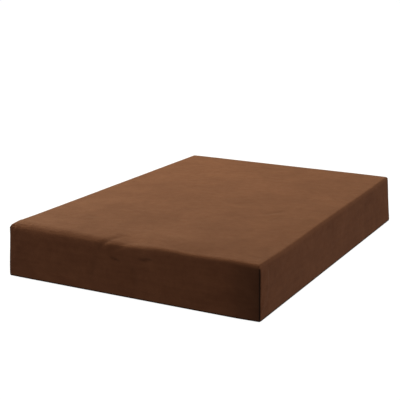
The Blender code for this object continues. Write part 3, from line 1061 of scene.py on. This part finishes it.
def make_care_label(cover, satin, thread):
    """A blank label laid on the wall and sewn along its two short folded ends."""
    low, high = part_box("care_label")
    surface = BVHTree.FromPolygons(
        [vertex.co for vertex in cover.data.vertices], [face.vertices for face in cover.data.polygons]
    )

    def on_wall(y, z, lift):
        spot = surface.ray_cast(Vector((-HALF_X - 0.05, y, z)), Vector((1, 0, 0)))[0]
        return np.array((spot.x - lift, y, z))

    def place(row, column):
        share_y, share_z = row / 24, column / 16
        bow = math.sin(math.pi * share_y) * 0.45 * MM * (0.6 + 0.4 * math.sin(5 * share_z))
        fold = 0.35 * MM * (min(share_y, 1 - share_y) < 0.07)
        y = low.y + (high.y - low.y) * share_y
        z = low.z + (high.z - low.z) * share_z
        return on_wall(y, z, 0.3 * MM + bow + fold)

    rows = []
    for y in (low.y + 2 * MM, high.y - 2 * MM):
        lower = on_wall(y, low.z + 1 * MM, 1.0 * MM)
        upper = on_wall(y, high.z - 1 * MM, 1.0 * MM)
        rows.append(stitch_row(lower, upper, (-1, 0, 0)))
    label = new_piece(
        "blank_care_label", [grid(25, 17, place)], [satin], "bed", ["care_label"]
    )
    thicken(label, 0.25 * MM, 0)
    stitches = new_piece("care_label_stitches", [join_parts(rows)], [thread], "bed", ())


# Stage ----------------------------------------

def pale_material():
    g = Graph("pale_backdrop", Roughness=0.9, Emission_Strength=0.99)
    g.shader.inputs["Base Color"].default_value = (0.06, 0.06, 0.06, 1)
    g.shader.inputs["Emission Color"].default_value = (1, 1, 1, 1)
    return g.material


def make_stage():
    """Pale floor that curves up into a backdrop. It lights the bed no more than the lamps do."""
    profile = [(radius, 0.0) for radius in (0.001, 1.5, 4, 9)]
    profile += [(9 + 5 * math.sin(a), 5 - 5 * math.cos(a)) for a in np.linspace(0.2, math.pi / 2, 12)]
    profile += [(14, 9), (14, 14)]
    turns = 96
    vertices = []
    for radius, z in profile:
        for turn in range(turns):
            angle = 2 * math.pi * turn / turns
            vertices.append((radius * math.cos(angle), radius * math.sin(angle), z - 0.3 * MM))
    faces = []
    for ring in range(len(profile) - 1):
        for turn in range(turns):
            a = ring * turns + turn
            b = ring * turns + (turn + 1) % turns
            faces.append((a, b, b + turns, a + turns))
    mesh = bpy.data.meshes.new("floor_and_backdrop")
    mesh.from_pydata(vertices, [], faces)
    mesh.materials.append(pale_material())
    mesh.shade_smooth()
    floor = bpy.data.objects.new("floor_and_backdrop", mesh)
    bpy.context.collection.objects.link(floor)
    floor.visible_diffuse = False
    floor.visible_glossy = False
    floor.visible_shadow = False


def add_area_light(name, location, target, size, power, colour=(1, 1, 1)):
    lamp = bpy.data.lights.new(name, "AREA")
    lamp.shape = "RECTANGLE"
    lamp.size, lamp.size_y = size
    lamp.energy = power
    lamp.color = colour
    holder = bpy.data.objects.new(name, lamp)
    holder.location = location
    aim = Vector(target) - Vector(location)
    holder.rotation_euler = aim.to_track_quat("-Z", "Y").to_euler()
    bpy.context.collection.objects.link(holder)


def make_lights():
    world = bpy.data.worlds.new("studio")
    world.use_nodes = True
    background = world.node_tree.nodes["Background"].inputs
    background["Color"].default_value = (1, 1, 1, 1)
    background["Strength"].default_value = 0.222
    bpy.context.scene.world = world
    middle = (0, 0, 0.1)
    add_area_light("overhead_softbox", (-1.6, 1.6, 3.0), middle, (3.0, 3.0), 89, (1, 0.94, 0.71))
    add_area_light("left_softbox", (-3.2, 0.4, 1.8), middle, (2.0, 2.0), 102, (1, 0.94, 0.71))
    add_area_light("right_fill", (3.2, 0.3, 1.2), middle, (1.6, 1.6), 28.6)
    add_area_light("front_fill", (-2.6, -3.0, 1.2), middle, (1.6, 1.6), 24.4)
    bpy.context.scene.view_settings.view_transform = "Standard"


def make_camera():
    lens = bpy.data.cameras.new("camera")
    lens.sensor_width = 36
    lens.lens = 88.67
    lens.clip_end = 60
    camera = bpy.data.objects.new("camera", lens)
    camera.location = (1.531, -3.162, 1.0556)
    turn = Matrix.Rotation(math.radians(26.99), 3, "Z")
    tilt = Matrix.Rotation(math.radians(90 - 14.11), 3, "X")
    roll = Matrix.Rotation(math.radians(0.63), 3, "Z")
    camera.rotation_euler = (turn @ tilt @ roll).to_euler()
    bpy.context.collection.objects.link(camera)
    bpy.context.scene.camera = camera


def main():
    suede = microsuede_material()
    thread = thread_material()
    tape = tape_material()
    nylon = nylon_material()
    metal = metal_material()
    cover = make_cover(suede)
    make_bottom(underside_material())
    make_corner_allowances(suede, thread)
    make_bottom_allowance(suede, thread)
    make_foam()
    make_tape("zip_woven_tape_lower", "zip_tape_lower", tape)
    make_tape("zip_woven_tape_upper", "zip_tape_upper", tape)
    make_coil("zip_teeth_lower", "zip_coil_lower", nylon, thread, -1)
    make_coil("zip_teeth_upper", "zip_coil_upper", nylon, thread, 1)
    make_end_tab("zip_end_patch_front", "zip_end_tab_front", suede, thread)
    make_end_tab("zip_end_patch_back", "zip_end_tab_back", suede, thread)
    make_topstitching(thread)
    finish_metal(metal)
    make_pull_grip(metal)
    make_care_label(cover, label_material(), thread)
    make_stage()
    make_lights()
    make_camera()


main()
